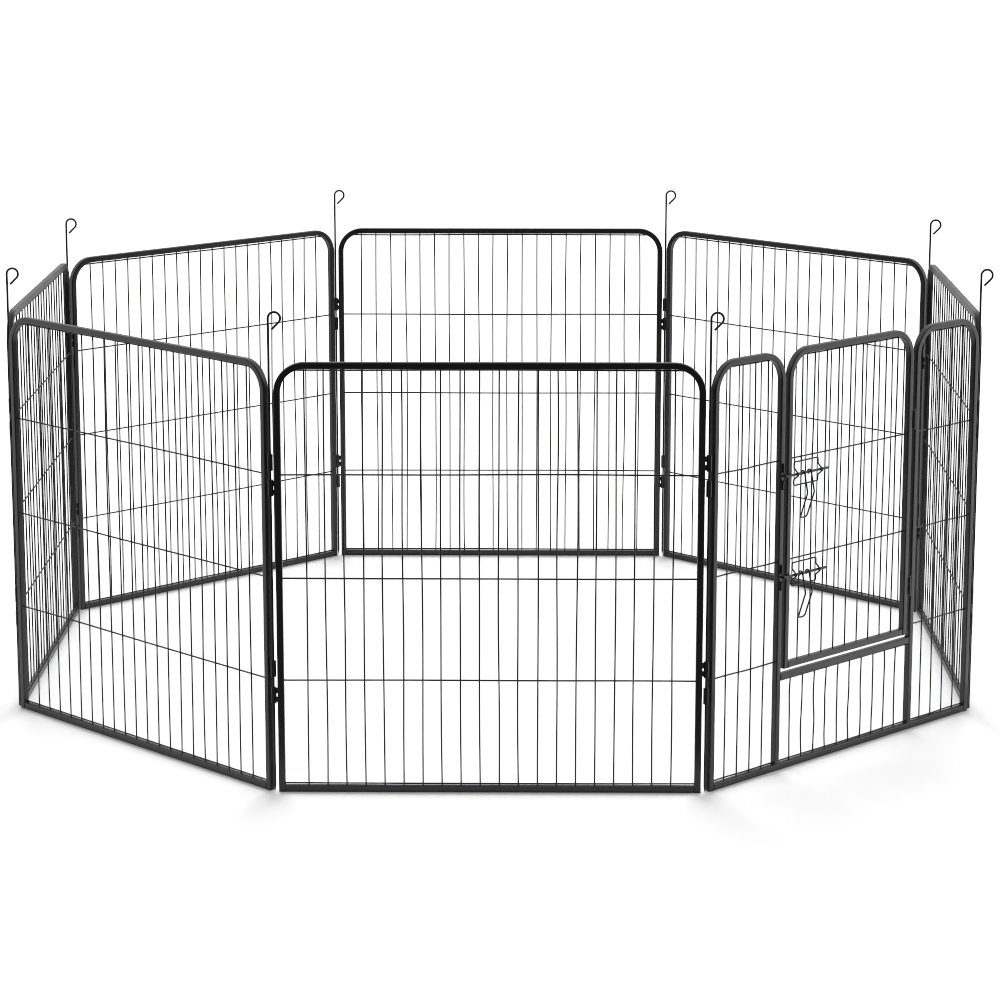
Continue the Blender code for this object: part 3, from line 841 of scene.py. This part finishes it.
# ---- assembly --------------------------------------------------------------------------
def plain_panel(name, place):
    """Hoop, bottom rail and wires of a panel without a door."""
    frame_piece(name + "_frame", 0, HALF_WIDTH, (0, 0), (-1, 1), place)
    rail_piece(name + "_rail", HALF_WIDTH - TUBE, 0, place)
    hoop_wires(name + "_wires", 0, HALF_WIDTH, PANEL_WIRES, TUBE, MIDDLE_WIRES, True, place)


def door_panel(place):
    """Bottom rail, threshold, two side hoops and wires round the doorway."""
    rail_piece("door_panel_rail", HALF_WIDTH - TUBE, 0, place)
    rail_piece("door_threshold", DOORWAY_HALF, THRESHOLD_LOW.z, place)
    for label, end in (("left", -1), ("right", 1)):
        name = "door_panel_" + label
        centre = end * SIDE_CENTRE
        feet = (0, TUBE) if end < 0 else (TUBE, 0)
        frame_piece(name + "_frame", centre, SIDE_HALF, feet, (end,), place)
        hoop_wires(
            name + "_wires", centre, SIDE_HALF, SIDE_WIRES, TUBE, MIDDLE_WIRES, True, place
        )
    top = THRESHOLD_LOW.z - END_CLEARANCE - LEVEL_RADIUS
    columns = [(x, TUBE, THRESHOLD_LOW.z) for x in spread(LOWER_WIRES)]
    rows = [(z, DOORWAY_HALF) for z in (BOTTOM_WIRE, top)]
    wires_piece("door_panel_lower_wires", 0, columns, rows, place)


def door(place):
    """Door with its pins and its two latches."""
    axis = joint_point("door_swing", place)
    for label in ("lower", "upper"):
        door_pin_piece(label + "_door_pin", axis, place)
    door_frame_piece(axis, place)
    rail_piece("door_rail", DOOR_HALF - TUBE, DOOR_RAIL_LOW.z, place)
    low = DOOR_RAIL_HIGH.z
    hoop_wires("door_wires", 0, DOOR_HALF, DOOR_WIRES, low, MIDDLE_WIRES[1:], False, place)
    for label in ("lower", "upper"):
        bolt_axis = joint_point(label + "_handle_swing", place)
        keeper_piece(label + "_latch_keeper", bolt_axis, place)
        guide_piece(label + "_latch_guide", bolt_axis, place)
        bolt_piece(label + "_latch_bolt", bolt_axis, place)
        handle_piece(label + "_latch_handle", bolt_axis, place)


def sheet(name, half_side, centre, shade):
    """Level square under the pen's feet, which casts no shadow on what lies below it."""
    mesh = bpy.data.meshes.new(name)
    signs = ((-1, -1), (1, -1), (1, 1), (-1, 1))
    mesh.from_pydata([(x * half_side, y * half_side, 0) for x, y in signs], [], [(0, 1, 2, 3)])
    material = bpy.data.materials.new(name)
    material.use_nodes = True
    surface = material.node_tree.nodes["Principled BSDF"]
    surface.inputs["Base Color"].default_value = (shade, shade, shade, 1)
    surface.inputs["Roughness"].default_value = 0.9
    surface.inputs["Specular IOR Level"].default_value = 0
    mesh.materials.append(material)
    made = bpy.data.objects.new(name, mesh)
    bpy.context.scene.collection.objects.link(made)
    made.location = centre
    made.visible_shadow = False
    return made


def floor():
    """White floor out to the horizon, and the sheet of paper that the tubes reflect."""
    seen = sheet("floor", FLOOR_HALF, (0, 0, -FLOOR_DROP), FLOOR_SHADE)
    seen.visible_glossy = False
    seen.visible_diffuse = False
    middle = (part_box("stake_front")[0].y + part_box("stake_back")[0].y) / 2
    paper = sheet("paper", PAPER_HALF, (0, middle, -PAPER_DROP), PAPER_SHADE)
    paper.visible_camera = False


def world():
    """White backdrop for the camera; soft light from above, behind and the sides for the rest."""
    made = bpy.data.worlds.new("studio")
    made.use_nodes = True
    tree = made.node_tree
    direction = tree.nodes.new("ShaderNodeTexCoord")
    split = tree.nodes.new("ShaderNodeSeparateXYZ")
    tree.links.new(direction.outputs["Generated"], split.inputs["Vector"])
    x, y, z = split.outputs
    start, full = SIDE_RANGE
    left = ramp(tree, x, -start, -full, 0, LEFT_STRENGTH, "SMOOTHSTEP")
    right = ramp(tree, x, start, full, 0, RIGHT_STRENGTH, "SMOOTHSTEP")
    behind = ramp(tree, y, *BEHIND_RANGE, 0, 1, "SMOOTHSTEP")
    above = ramp(tree, z, *TOP_RANGE, 0, TOP_STRENGTH, "SMOOTHSTEP")
    back = ramp(tree, y, *BACK_RANGE, 0, BACK_STRENGTH, "SMOOTHSTEP")
    sides = combine(tree, "MULTIPLY", combine(tree, "ADD", left, right), behind)
    total = combine(tree, "ADD", sides, combine(tree, "ADD", above, back))
    room = tree.nodes["Background"]
    room.inputs["Color"].default_value = (1, 1, 1, 1)
    tree.links.new(combine(tree, "ADD", total, DIM_STRENGTH), room.inputs["Strength"])
    backdrop = add_node(tree, "ShaderNodeBackground", Color=(1, 1, 1, 1))
    path = tree.nodes.new("ShaderNodeLightPath")
    choose = tree.nodes.new("ShaderNodeMixShader")
    tree.links.new(path.outputs["Is Camera Ray"], choose.inputs["Fac"])
    tree.links.new(room.outputs["Background"], choose.inputs[1])
    tree.links.new(backdrop.outputs["Background"], choose.inputs[2])
    tree.links.new(choose.outputs["Shader"], tree.nodes["World Output"].inputs["Surface"])
    bpy.context.scene.world = made


def light():
    """Wide soft light from behind the pen; it draws shadows towards the camera."""
    data = bpy.data.lights.new("back_light", "SUN")
    data.energy = BACK_LIGHT_ENERGY
    data.angle = BACK_LIGHT_WIDTH
    made = bpy.data.objects.new("back_light", data)
    bpy.context.scene.collection.objects.link(made)
    made.rotation_euler = (BACK_LIGHT_TILT, 0, 0)
    made.visible_glossy = False  # its mirror image would whiten the tops of the rails


def camera():
    """Camera at the height of an adult's eyes, in front of the pen."""
    data = bpy.data.cameras.new("camera")
    data.lens = LENS
    data.sensor_width = 36
    made = bpy.data.objects.new("camera", data)
    bpy.context.scene.collection.objects.link(made)
    made.location = CAMERA_PLACE
    made.rotation_euler = (math.radians(90 - CAMERA_PITCH), 0, math.radians(CAMERA_YAW))
    bpy.context.scene.camera = made


for index, name in enumerate(PANELS):
    if index != DOOR_PANEL:
        plain_panel(name, PLACES[index])
    stake_piece(name)
door_panel(DOOR_PLACE)
door(DOOR_PLACE)
floor()
world()
light()
camera()
bpy.context.scene.view_settings.view_transform = "Standard"
bpy.context.scene.cycles.pixel_filter_type = "BOX"
bpy.context.scene.cycles.filter_width = 1
